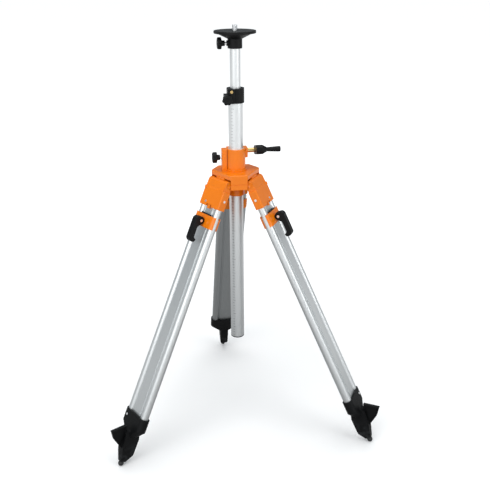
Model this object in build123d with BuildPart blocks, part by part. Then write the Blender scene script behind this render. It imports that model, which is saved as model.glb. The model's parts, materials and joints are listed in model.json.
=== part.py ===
"""Elevating tripod for a laser level: a geared column on three telescopic legs, in millimetres.

The column's axis is the Z axis, the floor that the three feet stand on is z = 0, and the rear leg points to +Y.
The front right leg points to 330 degrees and the front left leg to 210 degrees, counted from +X.
Each leg is modelled hanging straight down from its hinge at the origin, outward side facing +Y, and is then
swung out and turned into place by leg_frame().
"""

import os
from math import acos, atan, cos, pi, radians, sin, tan

from build123d import *

os.makedirs("parts", exist_ok=True)

# ---------------------------------------------------------------- driving dimensions
LEG_AZIMUTHS = {"rear": 90.0, "left": 210.0, "right": 330.0}

# heights above the floor
STUD_TOP = 1350.0
PLATE_TOP = 1333.0
HUB_BOTTOM = 1281.0
HEAD_KNOB_HEIGHT = 1296.0
COLLAR_TOP = 1162.0
COLLAR_BOTTOM = 1117.0
COLLAR_KNOB_HEIGHT = 1131.0
NECK_TOP = 972.0
SHAFT_HEIGHT = 955.0
HOUSING_KNOB_HEIGHT = 944.0
CASTING_TOP = 902.0
CASTING_BOTTOM = 855.0
SLAB_BOTTOM = 887.0
RING_TOP = 838.0
RING_BOTTOM = 820.0
COLUMN_BOTTOM = 308.0

# column tubes
OUTER_TUBE_RADIUS = 22.5
OUTER_TUBE_BORE = 20.0
INNER_TUBE_RADIUS = 16.0
INNER_TUBE_BORE = 14.2
INNER_TUBE_BOTTOM = 756.0
SLIDING_GAP = 0.3
RUNNING_GAP = 0.06

# head plate and instrument stud
PLATE_RADIUS = 64.0
PLATE_RIM = 8.0
HUB_RADIUS = 22.2
STUD_RADIUS = 7.94
STUD_NECK_RADIUS = 7.0
THREAD_START = PLATE_TOP + 1.5
RECESS_RADIUS = 8.8
RECESS_DEPTH = 1.5

# tripod head casting: a hexagon with its long sides over the legs
SIDE_DISTANCE = 60.0
PANEL_DISTANCE = 74.0
POCKET_HALF_WIDTH = 50.0
CORE_RADIUS = 40.0
CASTING_BORE = 28.0
RING_SCREW_CIRCLE = 32.0

# gear housing
NECK_RADIUS = 30.0
GUIDE_BORE = 24.5
SHAFT_Y = 34.0
BOSS_RADIUS = 15.0
BOSS_END = 38.0

# rack and pinion
GEAR_MODULE = 1.5
PINION_TEETH = 12
PRESSURE_ANGLE = radians(25)
GEAR_BACKLASH = 0.12
RACK_WIDTH = 12.0
RACK_SEAT = 21.0
PITCH_RADIUS = GEAR_MODULE * PINION_TEETH / 2
TOOTH_PITCH = pi * GEAR_MODULE
RACK_PITCH_LINE = SHAFT_Y - PITCH_RADIUS
RACK_TEETH_BELOW = 96
RACK_TEETH_ABOVE = 32

# crank
SHAFT_RADIUS = 7.5
JOURNAL_RADIUS = 5.5
CRANK_START = 64.0
CRANK_THICKNESS = 20.0
CRANK_LENGTH = 38.0
CRANK_ANGLE = radians(14.7)
HANDLE_START = 98.0
HANDLE_END = 142.0

# leg hinge and spread
LEG_TILT = atan(0.482)
HINGE_RADIUS = 63.1
HINGE_HEIGHT = 870.0
PIVOT_RADIUS = 5.0
LUG_RADIUS = 12.2
LUG_HALF_WIDTH = 19.7
EAR_RADIUS = 12.5
EAR_START = 20.0
EAR_END = 46.0
EAR_SLOT_BOTTOM = 15.0
BOLT_SEAT = 39.5
BOLT_SEAT_RADIUS = 10.0

# leg pieces: distances below the hinge, measured along the leg
HEAD_BLOCK_TOP = 22.0
HEAD_BLOCK_BOTTOM = 82.0
UPPER_LEG_TOP = 34.0
UPPER_LEG_BOTTOM = 740.0
CLAMP_TOP = 108.0
CLAMP_BOTTOM = 148.0
LOWER_LEG_TOP = 112.0
SOCKET_TOP = 784.0
LOWER_LEG_BOTTOM = 818.0
SOCKET_BOTTOM = 826.0
LEVER_PIN_DISTANCE = 131.0
LEVER_PIN_OUTWARD = 29.7
TIP_RADIUS = 9.0
TIP_DISTANCE = (HINGE_HEIGHT - TIP_RADIUS) / cos(LEG_TILT)

# leg sections: tube radius, tube offset, half thickness of the web, half width and half thickness of the bar
LOWER_SECTION = (13.5, 36.5, 7.0, 20.0, 9.5)
LOWER_CAVITY = (11.8, 36.5, 5.3, 18.3, 7.8)
UPPER_SECTION = (11.3, 36.5, 3.0, 16.0, 7.3)
UPPER_TUBE_BORE = 9.8

# leg head block
BLOCK_HALF_WIDTH = 50.0
BLOCK_FRONT = 14.5
BLOCK_BACK = -14.0
RIVET_X = 20.0
RIVET_DISTANCE = 69.0
SIDE_RIVET_DISTANCE = 52.0

# leg clamp
JAW_THICKNESS = 3.0
JAW_EDGE = 8.0
LEVER_HALF_WIDTH = 10.0
TONGUE_HALF_WIDTH = 4.8
LEVER_EYE_RADIUS = 12.9
LEVER_FORK_RADIUS = 16.2
LEVER_PIN_RADIUS = 3.0


# ---------------------------------------------------------------- shared helpers
def save(piece, name):
    """Label a finished piece and write its STEP file."""
    piece.label = name
    export_step(piece, f"parts/{name}.step")


def radial_plane(azimuth):
    """The upright plane through the column's axis at this azimuth: x outward, y up, normal along the hinge."""
    angle = radians(azimuth)
    return Plane(origin=(0, 0, 0), x_dir=(cos(angle), sin(angle), 0), z_dir=(sin(angle), -cos(angle), 0))


def leg_frame(azimuth):
    """The hinge frame of a spread leg: x along the hinge, y outward from the leg's face, z up along the leg."""
    angle = radians(azimuth)
    hinge = (HINGE_RADIUS * cos(angle), HINGE_RADIUS * sin(angle), HINGE_HEIGHT)
    up = (-sin(LEG_TILT) * cos(angle), -sin(LEG_TILT) * sin(angle), cos(LEG_TILT))
    return Plane(origin=hinge, x_dir=(sin(angle), -cos(angle), 0), z_dir=up)


def save_legs(piece, name):
    """Write one copy of a leg piece for each leg, at its spread position."""
    for side, azimuth in LEG_AZIMUTHS.items():
        save(piece.moved(leg_frame(azimuth).location), f"{side}_{name}")


def in_leg(radius, height):
    """A point of a spread leg's upright mid-plane, as (y, z) in the straight leg."""
    outward = radius - HINGE_RADIUS
    drop = HINGE_HEIGHT - height
    along = outward * sin(LEG_TILT) + drop * cos(LEG_TILT)
    across = outward * cos(LEG_TILT) - drop * sin(LEG_TILT)
    return (across, -along)


def draw_leg_section(section, mode=Mode.ADD):
    """Two round tubes joined by a web with a raised bar along its middle."""
    tube_radius, tube_offset, web_half, bar_half_width, bar_half_depth = section
    with Locations((-tube_offset, 0), (tube_offset, 0)):
        Circle(tube_radius, mode=mode)
    Rectangle(2 * tube_offset, 2 * web_half, mode=mode)
    Rectangle(2 * bar_half_width, 2 * bar_half_depth, mode=mode)


def draw_stadium(half_length, radius, mode=Mode.ADD):
    """A flat-sided oval around the two tubes of a leg."""
    with Locations((-half_length, 0), (half_length, 0)):
        Circle(radius, mode=mode)
    Rectangle(2 * half_length, 2 * radius, mode=mode)


def make_knob(seat, head_radius, head_length, neck_radius, neck_length, screw_radius):
    """A lobed hand knob on the plane seat, which faces the operator; blind hole for its screw."""
    lobes = 7
    with BuildPart() as knob:
        with BuildSketch(seat.offset(neck_length)):
            Circle(head_radius)
            with PolarLocations(head_radius * 1.16, lobes):
                Circle(head_radius * 0.3, mode=Mode.SUBTRACT)
        extrude(amount=head_length)
        fillet(knob.edges().filter_by(lambda edge: edge.geom_type == GeomType.CIRCLE), radius=1.6)
        with BuildSketch(seat):
            Circle(neck_radius)
        extrude(amount=neck_length + 0.5)
        with BuildSketch(seat):
            Circle(screw_radius)
        extrude(amount=neck_length + head_length * 0.5, mode=Mode.SUBTRACT)
    return knob.part


def make_knob_screw(seat, screw_radius, reach, depth):
    """The steel screw moulded into a knob: reach towards the clamped tube, depth inside the knob."""
    with BuildPart() as screw:
        with BuildSketch(seat.offset(-reach)):
            Circle(screw_radius)
        extrude(amount=reach + depth)
        chamfer(screw.faces().sort_by(lambda face: (face.center() - seat.origin).dot(seat.z_dir))[0].edges(), 0.8)
    return screw.part


# ---------------------------------------------------------------- head plate and instrument stud
STUD_SEAT = PLATE_TOP - 15
with BuildPart() as head_plate:
    with BuildSketch(Plane.XZ):
        with BuildLine():
            Polyline(
                (STUD_NECK_RADIUS, STUD_SEAT),
                (STUD_NECK_RADIUS, PLATE_TOP - RECESS_DEPTH),
                (RECESS_RADIUS, PLATE_TOP - RECESS_DEPTH),
                (RECESS_RADIUS, PLATE_TOP),
                (PLATE_RADIUS, PLATE_TOP),
                (PLATE_RADIUS, PLATE_TOP - PLATE_RIM),
                (55, PLATE_TOP - PLATE_RIM),
                (25, PLATE_TOP - 23),
                (HUB_RADIUS, PLATE_TOP - 24),
                (HUB_RADIUS, HUB_BOTTOM),
                (INNER_TUBE_RADIUS + SLIDING_GAP, HUB_BOTTOM),
                (INNER_TUBE_RADIUS + SLIDING_GAP, STUD_SEAT),
                close=True,
            )
        make_face()
    revolve(axis=Axis.Z)
    rim = head_plate.edges().filter_by(GeomType.CIRCLE).filter_by(lambda edge: abs(edge.radius - PLATE_RADIUS) < 0.1)
    fillet(rim, radius=1.5)
    with BuildSketch(Plane.YZ.offset(-HUB_RADIUS - 3.3)):
        with Locations((0, HEAD_KNOB_HEIGHT)):
            Circle(8.5)
    extrude(amount=7)
    with BuildSketch(Plane.YZ.offset(-HUB_RADIUS - 4)):
        with Locations((0, HEAD_KNOB_HEIGHT)):
            Circle(4.1)
    extrude(amount=12, mode=Mode.SUBTRACT)
save(head_plate.part, "head_plate")

with BuildPart() as instrument_stud:
    with BuildSketch(Plane.XY.offset(STUD_SEAT - 7)):
        RegularPolygon(radius=12, side_count=6, major_radius=False)
    extrude(amount=7)
    with BuildSketch(Plane.XY.offset(STUD_SEAT)):
        Circle(STUD_NECK_RADIUS)
    extrude(amount=THREAD_START - STUD_SEAT)
    with BuildSketch(Plane.XY.offset(THREAD_START)):
        Circle(STUD_RADIUS)
    extrude(amount=STUD_TOP - THREAD_START)
    chamfer(instrument_stud.faces().sort_by(Axis.Z)[-1].edges(), 0.8)
save(instrument_stud.part, "instrument_stud")

head_knob_seat = Plane(origin=(-31, 0, HEAD_KNOB_HEIGHT), x_dir=(0, 1, 0), z_dir=(-1, 0, 0))
save(make_knob(head_knob_seat, 18.5, 13.6, 8.5, 10, 4), "head_knob")
save(make_knob_screw(head_knob_seat, 4, 31 - INNER_TUBE_RADIUS - 0.5, 16.8), "head_knob_screw")

# ---------------------------------------------------------------- inner column
with BuildPart() as inner_column:
    with BuildSketch(Plane.XY.offset(INNER_TUBE_BOTTOM)):
        Circle(INNER_TUBE_RADIUS)
        Circle(INNER_TUBE_BORE, mode=Mode.SUBTRACT)
    extrude(amount=PLATE_TOP - 25 - INNER_TUBE_BOTTOM)
save(inner_column.part, "inner_column")

with BuildPart() as inner_guide_ring:
    with BuildSketch(Plane.XY.offset(INNER_TUBE_BOTTOM)):
        Circle(OUTER_TUBE_BORE - SLIDING_GAP)
        Circle(INNER_TUBE_RADIUS, mode=Mode.SUBTRACT)
    extrude(amount=20)
save(inner_guide_ring.part, "inner_guide_ring")

# ---------------------------------------------------------------- outer column, rack and end plug
TUBE_TOP = COLLAR_TOP - 5
TUBE_BOTTOM = COLUMN_BOTTOM + 4
RACK_BOTTOM = SHAFT_HEIGHT - (RACK_TEETH_BELOW + 0.5) * TOOTH_PITCH
RACK_TOP = SHAFT_HEIGHT + (RACK_TEETH_ABOVE + 0.5) * TOOTH_PITCH

with BuildPart() as outer_column:
    with BuildSketch(Plane.XY.offset(TUBE_BOTTOM)):
        Circle(OUTER_TUBE_RADIUS)
        Circle(OUTER_TUBE_BORE, mode=Mode.SUBTRACT)
    extrude(amount=TUBE_TOP - TUBE_BOTTOM)
    with BuildSketch(Plane.XY.offset(RACK_BOTTOM)):
        with Locations((0, RACK_SEAT + 2.5)):
            Rectangle(RACK_WIDTH, 5)
    extrude(amount=RACK_TOP - RACK_BOTTOM, mode=Mode.SUBTRACT)
save(outer_column.part, "outer_column")

ADDENDUM = 1.3
DEDENDUM = 1.7
TOOTH_HALF = (TOOTH_PITCH / 2 - GEAR_BACKLASH) / 2
tip_half = TOOTH_HALF - ADDENDUM * tan(PRESSURE_ANGLE)
root_half = TOOTH_HALF + DEDENDUM * tan(PRESSURE_ANGLE)
rack_outline = [(RACK_SEAT, RACK_BOTTOM), (RACK_PITCH_LINE - DEDENDUM, RACK_BOTTOM)]
for tooth in range(-RACK_TEETH_BELOW, RACK_TEETH_ABOVE + 1):
    centre = SHAFT_HEIGHT + (tooth - 0.5) * TOOTH_PITCH
    if centre + root_half > RACK_TOP or centre - root_half < RACK_BOTTOM:
        continue
    rack_outline += [
        (RACK_PITCH_LINE - DEDENDUM, centre - root_half),
        (RACK_PITCH_LINE + ADDENDUM, centre - tip_half),
        (RACK_PITCH_LINE + ADDENDUM, centre + tip_half),
        (RACK_PITCH_LINE - DEDENDUM, centre + root_half),
    ]
rack_outline += [(RACK_PITCH_LINE - DEDENDUM, RACK_TOP), (RACK_SEAT, RACK_TOP)]

with BuildPart() as column_rack:
    with BuildSketch(Plane.YZ):
        with BuildLine():
            Polyline(*rack_outline, close=True)
        make_face()
    extrude(amount=RACK_WIDTH / 2, both=True)
save(column_rack.part, "column_rack")

with BuildPart() as column_end_plug:
    with BuildSketch(Plane.XY.offset(COLUMN_BOTTOM)):
        Circle(OUTER_TUBE_RADIUS)
    extrude(amount=TUBE_BOTTOM - COLUMN_BOTTOM)
    fillet(column_end_plug.faces().sort_by(Axis.Z)[0].edges(), radius=1.5)
    with BuildSketch(Plane.XY.offset(TUBE_BOTTOM)):
        Circle(OUTER_TUBE_BORE)
    extrude(amount=14)
    with BuildSketch(Plane.XY.offset(COLUMN_BOTTOM)):
        Circle(6)
    extrude(amount=18, mode=Mode.SUBTRACT)
save(column_end_plug.part, "column_end_plug")

# ---------------------------------------------------------------- column collar
COLLAR_RADIUS = 27.3
EAR_X = -29.5
EAR_FRONT = -27.5
with BuildPart() as column_collar:
    with BuildSketch(Plane.XY.offset(COLLAR_BOTTOM)):
        Circle(COLLAR_RADIUS)
        with Locations((-15.8, -19)):
            RectangleRounded(23.6, 17, 1.5)
    extrude(amount=COLLAR_TOP - COLLAR_BOTTOM)
    with BuildSketch(Plane.XY.offset(COLLAR_BOTTOM + 2)):
        with Locations((EAR_X + 2, (EAR_FRONT + 14) / 2)):
            RectangleRounded(17, 14 - EAR_FRONT, 2)
    extrude(amount=24)
    with BuildSketch(Plane.XY.offset(COLLAR_BOTTOM)):
        Circle(OUTER_TUBE_RADIUS)
    extrude(amount=TUBE_TOP - COLLAR_BOTTOM, mode=Mode.SUBTRACT)
    with BuildSketch(Plane.XY.offset(COLLAR_BOTTOM)):
        Circle(INNER_TUBE_RADIUS + SLIDING_GAP)
    extrude(amount=COLLAR_TOP - COLLAR_BOTTOM, mode=Mode.SUBTRACT)
    # clamping slit between the ears
    with BuildSketch(Plane.XY.offset(COLLAR_BOTTOM - 1)):
        with Locations((EAR_X, -2)):
            Rectangle(24, 2.4)
    extrude(amount=30, mode=Mode.SUBTRACT)
    # groove down the front beside the flat pad
    with BuildSketch(Plane.XY.offset(COLLAR_BOTTOM)):
        with Locations((-3, -COLLAR_RADIUS)):
            Rectangle(1.6, 3)
    extrude(amount=COLLAR_TOP - COLLAR_BOTTOM, mode=Mode.SUBTRACT)
    # bolt hole through both ears, and the pad screw's hole
    with BuildSketch(Plane.XZ):
        with Locations((EAR_X, COLLAR_KNOB_HEIGHT)):
            Circle(3.1)
    extrude(amount=40, both=True, mode=Mode.SUBTRACT)
    with BuildSketch(Plane.XZ.offset(-EAR_FRONT)):
        with Locations((-15, COLLAR_TOP - 9)):
            Circle(2.5)
    extrude(amount=-7, mode=Mode.SUBTRACT)
save(column_collar.part, "column_collar")

with BuildPart() as collar_screw:
    with BuildSketch(Plane.XZ.offset(-EAR_FRONT)):
        with Locations((-15, COLLAR_TOP - 9)):
            Circle(2.5)
    extrude(amount=-7)
    with BuildSketch(Plane.XZ.offset(-EAR_FRONT)):
        with Locations((-15, COLLAR_TOP - 9)):
            Circle(4.6)
    extrude(amount=1.6)
    fillet(collar_screw.faces().sort_by(Axis.Y)[0].edges(), radius=0.8)
save(collar_screw.part, "collar_screw")

collar_knob_seat = Plane(origin=(EAR_X, EAR_FRONT - 1, COLLAR_KNOB_HEIGHT), x_dir=(1, 0, 0), z_dir=(0, -1, 0))
save(make_knob(collar_knob_seat, 16.5, 12, 8, 5, 3), "collar_knob")
save(make_knob_screw(collar_knob_seat, 3, 42, 11), "collar_knob_screw")

# ---------------------------------------------------------------- gear housing with the column's neck
LUG_OUTER = -46.0
CHANNEL_HALF = 7.0
CHANNEL_DEPTH = 27.8
with BuildPart() as gear_housing:
    with BuildSketch(Plane.XY.offset(CASTING_TOP)):
        Circle(NECK_RADIUS)
        with Locations(((LUG_OUTER - 20) / 2, 0)):
            Rectangle(-20 - LUG_OUTER, 26)
    extrude(amount=NECK_TOP - CASTING_TOP)
    fillet(gear_housing.edges().filter_by(Axis.Z).sort_by(Axis.X)[0:2], radius=4)
    with BuildSketch(Plane.XY.offset(CASTING_TOP)):
        Circle(34)
    extrude(amount=5)
    # round boss that carries the crank shaft behind the column
    with BuildSketch(Plane.YZ.offset(-26)):
        with Locations((SHAFT_Y, SHAFT_HEIGHT)):
            Circle(BOSS_RADIUS)
        with Locations((SHAFT_Y / 2, SHAFT_HEIGHT)):
            Rectangle(SHAFT_Y, 2 * BOSS_RADIUS)
    extrude(amount=BOSS_END + 26)
    top_edges = gear_housing.faces().sort_by(Axis.Z)[-1].edges()
    chamfer(top_edges, 1.2)
    # column bore, rack channel and pinion pocket
    with BuildSketch(Plane.XY.offset(CASTING_TOP)):
        Circle(GUIDE_BORE)
        with Locations((0, CHANNEL_DEPTH / 2)):
            Rectangle(2 * CHANNEL_HALF, CHANNEL_DEPTH)
    extrude(amount=NECK_TOP - CASTING_TOP, mode=Mode.SUBTRACT)
    with BuildSketch(Plane.YZ.offset(-CHANNEL_HALF)):
        with Locations((SHAFT_Y, SHAFT_HEIGHT)):
            Circle(11.2)
    extrude(amount=2 * CHANNEL_HALF, mode=Mode.SUBTRACT)
    # seats of the two shaft bushes
    with BuildSketch(Plane.YZ.offset(CHANNEL_HALF)):
        with Locations((SHAFT_Y, SHAFT_HEIGHT)):
            Circle(9.6)
    extrude(amount=BOSS_END - CHANNEL_HALF, mode=Mode.SUBTRACT)
    with BuildSketch(Plane.YZ.offset(-24)):
        with Locations((SHAFT_Y, SHAFT_HEIGHT)):
            Circle(7.6)
    extrude(amount=24 - CHANNEL_HALF, mode=Mode.SUBTRACT)
    # screw hole and brake shoe pocket in the clamp lug, and the relief groove beside it
    with BuildSketch(Plane.YZ.offset(LUG_OUTER)):
        with Locations((0, HOUSING_KNOB_HEIGHT)):
            Circle(4.1)
    extrude(amount=16, mode=Mode.SUBTRACT)
    with BuildSketch(Plane.YZ.offset(-32)):
        with Locations((0, HOUSING_KNOB_HEIGHT)):
            Circle(7)
    extrude(amount=12, mode=Mode.SUBTRACT)
    with BuildSketch(Plane.XY.offset(CASTING_TOP + 5)):
        with Locations((-29, -12)):
            Rectangle(2.4, 10)
    extrude(amount=NECK_TOP - CASTING_TOP, mode=Mode.SUBTRACT)
save(gear_housing.part, "gear_housing")


def make_guide_bush(outer_radius, bottom, top):
    """A plastic sleeve around the column with a slot for the rack at the back."""
    with BuildPart() as bush:
        with BuildSketch(Plane.XY.offset(bottom)):
            Circle(outer_radius)
            Circle(OUTER_TUBE_RADIUS + SLIDING_GAP, mode=Mode.SUBTRACT)
            with Locations((0, outer_radius)):
                Rectangle(2 * CHANNEL_HALF, 2 * 6, mode=Mode.SUBTRACT)
        extrude(amount=top - bottom)
    return bush.part


upper_bush = make_guide_bush(GUIDE_BORE, SHAFT_HEIGHT - 1, NECK_TOP)
lower_bush = make_guide_bush(GUIDE_BORE, RING_BOTTOM + 2, RING_TOP + 10)
save(Compound(children=[upper_bush, lower_bush]), "guide_bushes")

with BuildPart() as brake_shoe:
    with BuildSketch(Plane.YZ.offset(-31.8)):
        with Locations((0, HOUSING_KNOB_HEIGHT)):
            Circle(6.9)
    extrude(amount=9)
    with BuildSketch(Plane.XY.offset(HOUSING_KNOB_HEIGHT - 10)):
        Circle(OUTER_TUBE_RADIUS + 0.4)
    extrude(amount=20, mode=Mode.SUBTRACT)
save(brake_shoe.part, "brake_shoe")

housing_knob_seat = Plane(origin=(-51, 0, HOUSING_KNOB_HEIGHT), x_dir=(0, 1, 0), z_dir=(-1, 0, 0))
save(make_knob(housing_knob_seat, 18, 15.5, 9, 9.5, 4), "housing_knob")
save(make_knob_screw(housing_knob_seat, 4, 51 - 32.2, 17), "housing_knob_screw")


# ---------------------------------------------------------------- crank shaft, pinion and crank
def make_shaft_bush(inner_radius, outer_radius, start, end):
    """A plain bearing sleeve for the crank shaft."""
    with BuildPart() as bush:
        with BuildSketch(Plane.YZ.offset(start)):
            with Locations((SHAFT_Y, SHAFT_HEIGHT)):
                Circle(outer_radius)
                Circle(inner_radius, mode=Mode.SUBTRACT)
        extrude(amount=end - start)
    return bush.part


outer_bush = make_shaft_bush(SHAFT_RADIUS + RUNNING_GAP, 9.6, 8, BOSS_END)
inner_bush = make_shaft_bush(JOURNAL_RADIUS + RUNNING_GAP, 7.6, -24, -8)
save(Compound(children=[outer_bush, inner_bush]), "shaft_bushes")

with BuildPart() as crank_shaft:
    with BuildSketch(Plane.YZ.offset(-23)):
        with Locations((SHAFT_Y, SHAFT_HEIGHT)):
            Circle(JOURNAL_RADIUS)
    extrude(amount=23 + 7)
    with BuildSketch(Plane.YZ.offset(7)):
        with Locations((SHAFT_Y, SHAFT_HEIGHT)):
            Circle(SHAFT_RADIUS)
    extrude(amount=CRANK_START - 7)
    with BuildSketch(Plane.YZ.offset(CRANK_START)):
        with Locations((SHAFT_Y, SHAFT_HEIGHT)):
            Circle(5)
    extrude(amount=15)
save(crank_shaft.part, "crank_shaft")


def involute(base_radius, radius, start_angle, side):
    """A point of an involute flank at this radius; side is +1 or -1 for the two flanks of a tooth."""
    pressure = acos(min(1.0, base_radius / radius))
    angle = start_angle - side * (tan(pressure) - pressure)
    return (radius * cos(angle), radius * sin(angle))


base_radius = PITCH_RADIUS * cos(PRESSURE_ANGLE)
tip_radius = PITCH_RADIUS + 1.35
pinion_root = PITCH_RADIUS - 1.65
base_half_angle = TOOTH_HALF / PITCH_RADIUS + tan(PRESSURE_ANGLE) - PRESSURE_ANGLE
flank_radii = [base_radius + (tip_radius - base_radius) * step / 4 for step in range(5)]
pinion_frame = Plane(origin=(-RACK_WIDTH / 2, SHAFT_Y, SHAFT_HEIGHT), x_dir=(0, -1, 0), z_dir=(1, 0, 0))
upper_flank = [involute(base_radius, radius, base_half_angle, 1) for radius in flank_radii]
lower_flank = [involute(base_radius, radius, -base_half_angle, -1) for radius in flank_radii]
root_upper = (pinion_root * 0.9 * cos(base_half_angle), pinion_root * 0.9 * sin(base_half_angle))
root_lower = (root_upper[0], -root_upper[1])
with BuildPart() as pinion:
    with BuildSketch(pinion_frame):
        with BuildSketch(mode=Mode.PRIVATE) as gear_tooth:
            with BuildLine():
                Line(root_lower, lower_flank[0])
                Spline(*lower_flank)
                Line(lower_flank[-1], upper_flank[-1])
                Spline(*reversed(upper_flank))
                Line(upper_flank[0], root_upper)
                Line(root_upper, root_lower)
            make_face()
        Circle(pinion_root)
        with PolarLocations(0, PINION_TEETH):
            add(gear_tooth.sketch)
        Circle(JOURNAL_RADIUS, mode=Mode.SUBTRACT)
    extrude(amount=RACK_WIDTH)
save(pinion.part, "pinion")

crank_frame = Plane(
    origin=(CRANK_START, SHAFT_Y, SHAFT_HEIGHT),
    x_dir=(0, -cos(CRANK_ANGLE), sin(CRANK_ANGLE)),
    z_dir=(1, 0, 0),
)
with BuildPart() as crank_arm:
    with BuildSketch(crank_frame):
        with Locations((CRANK_LENGTH / 2, 0)):
            SlotCenterToCenter(CRANK_LENGTH, 2 * BOSS_RADIUS)
    extrude(amount=CRANK_THICKNESS)
    fillet(crank_arm.faces().sort_by(Axis.X)[0].edges(), radius=2.5)
    with BuildSketch(crank_frame.offset(CRANK_THICKNESS)):
        with Locations((CRANK_LENGTH, 0)):
            Circle(BOSS_RADIUS)
    with BuildSketch(crank_frame.offset(HANDLE_START - CRANK_START - 0.4)):
        with Locations((CRANK_LENGTH, 0)):
            Circle(7.5)
    loft()
    with BuildSketch(crank_frame):
        Circle(5)
    extrude(amount=15, mode=Mode.SUBTRACT)
    with BuildSketch(crank_frame.offset(12)):
        with Locations((CRANK_LENGTH, 0)):
            Circle(3)
    extrude(amount=40, mode=Mode.SUBTRACT)
save(crank_arm.part, "crank_arm")

handle_frame = Plane(
    origin=crank_frame.from_local_coords(Vector(CRANK_LENGTH, 0, 0)),
    x_dir=(0, 0, 1),
    z_dir=(1, 0, 0),
)
with BuildPart() as crank_handle:
    with BuildSketch(handle_frame.offset(HANDLE_START - CRANK_START)):
        Circle(6.8)
    with BuildSketch(handle_frame.offset(HANDLE_END - CRANK_START - 8)):
        Circle(8.8)
    loft()
    with BuildSketch(handle_frame.offset(HANDLE_END - CRANK_START - 8)):
        Circle(8.8)
    extrude(amount=8)
    fillet(crank_handle.faces().sort_by(Axis.X)[-1].edges(), radius=2)
    with BuildSketch(handle_frame.offset(HANDLE_START - CRANK_START - 1)):
        Circle(3 + RUNNING_GAP)
    extrude(amount=60, mode=Mode.SUBTRACT)
    with BuildSketch(handle_frame.offset(HANDLE_END - CRANK_START - 4)):
        Circle(5.8)
    extrude(amount=6, mode=Mode.SUBTRACT)
save(crank_handle.part, "crank_handle")

with BuildPart() as handle_screw:
    with BuildSketch(handle_frame.offset(12)):
        Circle(3)
    extrude(amount=HANDLE_END - CRANK_START - 12 - 3)
    with BuildSketch(handle_frame.offset(HANDLE_END - CRANK_START - 3.7)):
        Circle(5.4)
    extrude(amount=3)
    fillet(handle_screw.faces().sort_by(Axis.X)[-1].edges(), radius=0.8)
save(handle_screw.part, "handle_screw")

# ---------------------------------------------------------------- tripod head casting
side_half_length = (PANEL_DISTANCE - SIDE_DISTANCE * cos(pi / 3)) / sin(pi / 3)
casting_outline = []
for azimuth in LEG_AZIMUTHS.values():
    for along in (-side_half_length, side_half_length):
        outward = Vector(SIDE_DISTANCE, along).rotate(Axis.Z, azimuth)
        casting_outline.append((outward.X, outward.Y))

with BuildPart() as tripod_head:
    with BuildSketch(Plane.XY.offset(CASTING_BOTTOM)):
        with BuildLine():
            Polyline(*casting_outline, close=True)
        make_face()
    extrude(amount=CASTING_TOP - CASTING_BOTTOM)
    fillet(tripod_head.edges().filter_by(Axis.Z), radius=5)
    chamfer(tripod_head.faces().sort_by(Axis.Z)[-1].edges(), 2)
    for azimuth in LEG_AZIMUTHS.values():
        with BuildSketch(radial_plane(azimuth)):
            with Locations(((CORE_RADIUS + 100) / 2, (SLAB_BOTTOM + CASTING_BOTTOM - 10) / 2)):
                Rectangle(100 - CORE_RADIUS, SLAB_BOTTOM - CASTING_BOTTOM + 10)
        extrude(amount=POCKET_HALF_WIDTH, both=True, mode=Mode.SUBTRACT)
    # one lug for each hinge bolt
    lug_bottom = HINGE_HEIGHT - LUG_RADIUS
    for azimuth in LEG_AZIMUTHS.values():
        with BuildSketch(radial_plane(azimuth)):
            with Locations((HINGE_RADIUS, HINGE_HEIGHT)):
                Circle(LUG_RADIUS)
            with Locations(((HINGE_RADIUS + CORE_RADIUS - 2) / 2, (lug_bottom + SLAB_BOTTOM + 1) / 2)):
                Rectangle(HINGE_RADIUS - CORE_RADIUS + 2, SLAB_BOTTOM + 1 - lug_bottom)
            with Locations((HINGE_RADIUS, HINGE_HEIGHT)):
                Circle(PIVOT_RADIUS, mode=Mode.SUBTRACT)
        extrude(amount=LUG_HALF_WIDTH, both=True)
    # a groove across each panel between the legs
    for azimuth in (30, 150, 270):
        with BuildSketch(radial_plane(azimuth)):
            with Locations((PANEL_DISTANCE, CASTING_BOTTOM + 17)):
                Rectangle(2.4, 2)
        extrude(amount=POCKET_HALF_WIDTH, both=True, mode=Mode.SUBTRACT)
    with BuildSketch(Plane.XY.offset(CASTING_BOTTOM)):
        Circle(CASTING_BORE)
    extrude(amount=CASTING_TOP - CASTING_BOTTOM, mode=Mode.SUBTRACT)
    # holes for the guide ring's screws
    with BuildSketch(Plane.XY.offset(CASTING_BOTTOM)):
        with PolarLocations(RING_SCREW_CIRCLE, 3, start_angle=30):
            Circle(2)
    extrude(amount=12, mode=Mode.SUBTRACT)
save(tripod_head.part, "tripod_head")

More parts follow.
